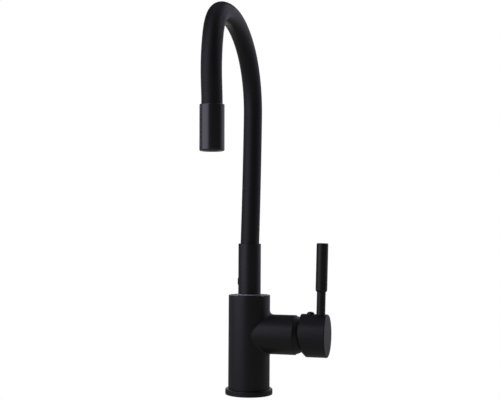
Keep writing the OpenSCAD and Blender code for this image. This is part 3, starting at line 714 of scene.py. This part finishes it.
silicone = finish("silicone_sleeve", (0.0058, 0.0058, 0.0066), (0.0085, 0.0083, 0.0096), (0.46, 0.56),
                  0.5 * MM, 0.20, ior=1.43)
hose_piece("sleeve_lower", silicone,
           ("hose_foot", "hose_foot_flex", "hose_rise", "hose_shoulder"),
           hose_r, sleeve_wall, False, hose_foot - collar_top)
hose_piece("sleeve_upper", silicone,
           ("hose_crown", "hose_nose_flex", "hose_drop", "hose_tail"),
           hose_r, sleeve_wall, True, sleeve_grip)
hose_piece("core_lower", steel, ("hose_core",), core_r, core_wall, False,
           core_in_ferrule, around=32)
hose_piece("core_upper", steel, ("hose_core",), core_r, core_wall, True,
           core_in_outlet, around=32)
hose_piece("tube_lower", moulded_white, ("water_tube",), tube_r, tube_wall, False,
           hose_foot - collar_top, around=32)
hose_piece("tube_upper", moulded_white, ("water_tube",), tube_r, tube_wall, True,
           sleeve_grip, around=32)


# ---- Outlet head and aerator -----------------------------------------------------------------
# A turned brass shell with a smoother black coat, over a brass nipple. The aerator screws into its
# lower end: a black ring round a plate with three rings of holes.

outlet_r, outlet_len = 12.9 * MM, 47.8 * MM
outlet_place = hose_place(hose_end)
sleeve_seat_r, nipple_seat_r, seal_seat = hose_r + 0.15 * MM, 9.4 * MM, 32 * MM
seat_edge, outlet_top_edge, outlet_foot_round, outlet_mouth_edge = 0.15 * MM, 0.7 * MM, 1.8 * MM, 0.2 * MM
aerator_r, aerator_top, aerator_hole_r = 10.4 * MM, 33.5 * MM, 7.6 * MM
aerator_edge, aerator_hole_edge = 0.3 * MM, 0.4 * MM
insert_r, insert_lip = 8.6 * MM, 1.2 * MM
outlet_bore_r = aerator_r + 0.1 * MM

satin_coat = finish("satin_coat", (0.0030, 0.0030, 0.0036), (0.0045, 0.0044, 0.0054), (0.27, 0.33),
                    0.32 * MM, 0.12, ior=1.8)
outlet = turned("outlet_shell", profile([
    (sleeve_seat_r, sleeve_grip), (sleeve_seat_r, 0, seat_edge), (outlet_r, 0, outlet_top_edge),
    (outlet_r, outlet_len, outlet_foot_round), (outlet_bore_r, outlet_len, outlet_mouth_edge),
    (outlet_bore_r, seal_seat), (nipple_seat_r, seal_seat), (nipple_seat_r, sleeve_grip),
], 8), "outlet", outlet_place, around=120)
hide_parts("outlet_head")
dress(outlet, satin_coat)

moulded_black = finish("moulded_black", (0.006, 0.006, 0.007), (0.010, 0.010, 0.012), (0.34, 0.44),
                       0.5 * MM, 0.10)
aerator_foot = outlet_len - 0.4 * MM
lip_top = aerator_foot - insert_lip
aerator = turned("aerator_ring", profile([
    (aerator_r, aerator_top), (aerator_r, aerator_foot, aerator_edge),
    (aerator_hole_r, aerator_foot, aerator_hole_edge), (aerator_hole_r, lip_top),
    (insert_r, lip_top), (insert_r, aerator_top),
], 5), "outlet", outlet_place)
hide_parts("aerator_housing")
dress(aerator, moulded_black)
finish_nodes(moulded_white, "aerator_insert")
finish_nodes(rubber, "aerator_seal")
finish_nodes(brass, "outlet_nipple")


# ---- Floor and studio light ------------------------------------------------------------------
# The faucet stands on a sheet of lit white acrylic, in front of a white backdrop. A broad soft box
# lights it from the left. Dimmer ones edge it from the sides and from behind, and four hang high.
# Each one's numbers are its degrees round, distance, height, width and height of panel, and watts.

camera_azimuth = 15.16        # degrees from -Y towards +X
faucet_middle = Vector((0, 0, 0.22))
cool_white = (0.82, 0.79, 1.0)


def soft_light(name, azimuth, distance, height, size, watts, colour=cool_white):
    """A soft panel that faces the faucet, at degrees to the right of the camera's side of it."""
    light = bpy.data.lights.new(name, "AREA")
    light.shape = "RECTANGLE"
    light.size, light.size_y = size
    light.energy, light.color = watts, colour
    lamp = bpy.data.objects.new(name, light)
    angle = math.radians(camera_azimuth + azimuth)
    centre = Vector((distance * math.sin(angle), -distance * math.cos(angle), height))
    lamp.matrix_world = axis_at(centre, centre - faucet_middle)
    lamp.visible_camera = False
    bpy.context.scene.collection.objects.link(lamp)


soft_light("left_box", -60, 1.2, 0.37, (1.39, 1.0), 5.7)
soft_light("left_edge", -110, 1.2, 0.37, (0.85, 1.0), 0.55)
soft_light("right_edge", 120, 1.2, 0.37, (1.39, 1.0), 2.4)
soft_light("back_left", -155, 1.2, 0.62, (0.63, 0.5), 1.5)
soft_light("back_right", 160, 1.2, 0.62, (0.42, 0.5), 0.6)
soft_light("low_back", 180, 1.2, 0.12, (0.42, 0.5), 1.0, (1.0, 0.95, 0.92))
soft_light("high_left", -40, 1.2, 1.25, (0.84, 0.7), 2.15)
soft_light("high_right", 90, 1.2, 1.25, (0.84, 0.7), 2.5)
soft_light("high_back", 140, 1.2, 1.25, (0.42, 0.7), 1.2)
soft_light("overhead", 0, 0.01, 1.6, (1.2, 1.2), 1.1)

floor_half, floor_throw = 6, 0.208        # metres, and how much the sheet lights the faucet from below
floor_mesh = bmesh.new()
bmesh.ops.create_grid(floor_mesh, x_segments=1, y_segments=1, size=floor_half)
floor = piece_from(floor_mesh, "floor")
lit_acrylic = bpy.data.materials.new("lit_acrylic")
lit_acrylic.use_nodes = True
nodes, links = lit_acrylic.node_tree.nodes, lit_acrylic.node_tree.links
nodes["Principled BSDF"].inputs["Base Color"].default_value = (0, 0, 0, 1)
nodes["Principled BSDF"].inputs["Specular IOR Level"].default_value = 0
nodes["Principled BSDF"].inputs["Emission Color"].default_value = (1, 1, 1, 1)
seen_by, glow = nodes.new("ShaderNodeLightPath"), nodes.new("ShaderNodeMapRange")
glow.inputs["To Min"].default_value = floor_throw
links.new(seen_by.outputs["Is Camera Ray"], glow.inputs["Value"])
links.new(glow.outputs["Result"], nodes["Principled BSDF"].inputs["Emission Strength"])
floor.data.materials.append(lit_acrylic)

world = bpy.data.worlds.new("backdrop")
bpy.context.scene.world = world
world.use_nodes = True
nodes, links = world.node_tree.nodes, world.node_tree.links
dim, bright = nodes["Background"], nodes.new("ShaderNodeBackground")
dim.inputs["Color"].default_value = (0.039, 0.040, 0.034, 1)
bright.inputs["Color"].default_value = (1, 1, 1, 1)
path_kind, backdrop = nodes.new("ShaderNodeLightPath"), nodes.new("ShaderNodeMixShader")
links.new(path_kind.outputs["Is Camera Ray"], backdrop.inputs["Fac"])
links.new(dim.outputs["Background"], backdrop.inputs[1])
links.new(bright.outputs["Background"], backdrop.inputs[2])
links.new(backdrop.outputs["Shader"], nodes["World Output"].inputs["Surface"])


# ---- Camera ----------------------------------------------------------------------------------
# It stands a metre away, a little above the lever, and looks slightly up. The frame is 500 by
# 400, and the lens is given by its focal length in those pixels.

camera_at = Vector((0.2790, -1.0295, 0.1887))
camera_back = Vector((0.2614, -0.9646, -0.0350)).normalized()
camera_right = Vector((0.9652, 0.2614, 0.0060))
focal_pixels, frame_width = 907.9, 500

lens = bpy.data.cameras.new("camera")
lens.sensor_fit, lens.sensor_width = "HORIZONTAL", 36
lens.lens = focal_pixels * lens.sensor_width / frame_width
camera = bpy.data.objects.new("camera", lens)
camera_up = camera_back.cross(camera_right).normalized()
camera.matrix_world = Matrix.Translation(camera_at) @ Matrix(
    (camera_up.cross(camera_back), camera_up, camera_back)).transposed().to_4x4()
bpy.context.scene.collection.objects.link(camera)
bpy.context.scene.camera = camera
bpy.context.scene.view_settings.view_transform = "Standard"
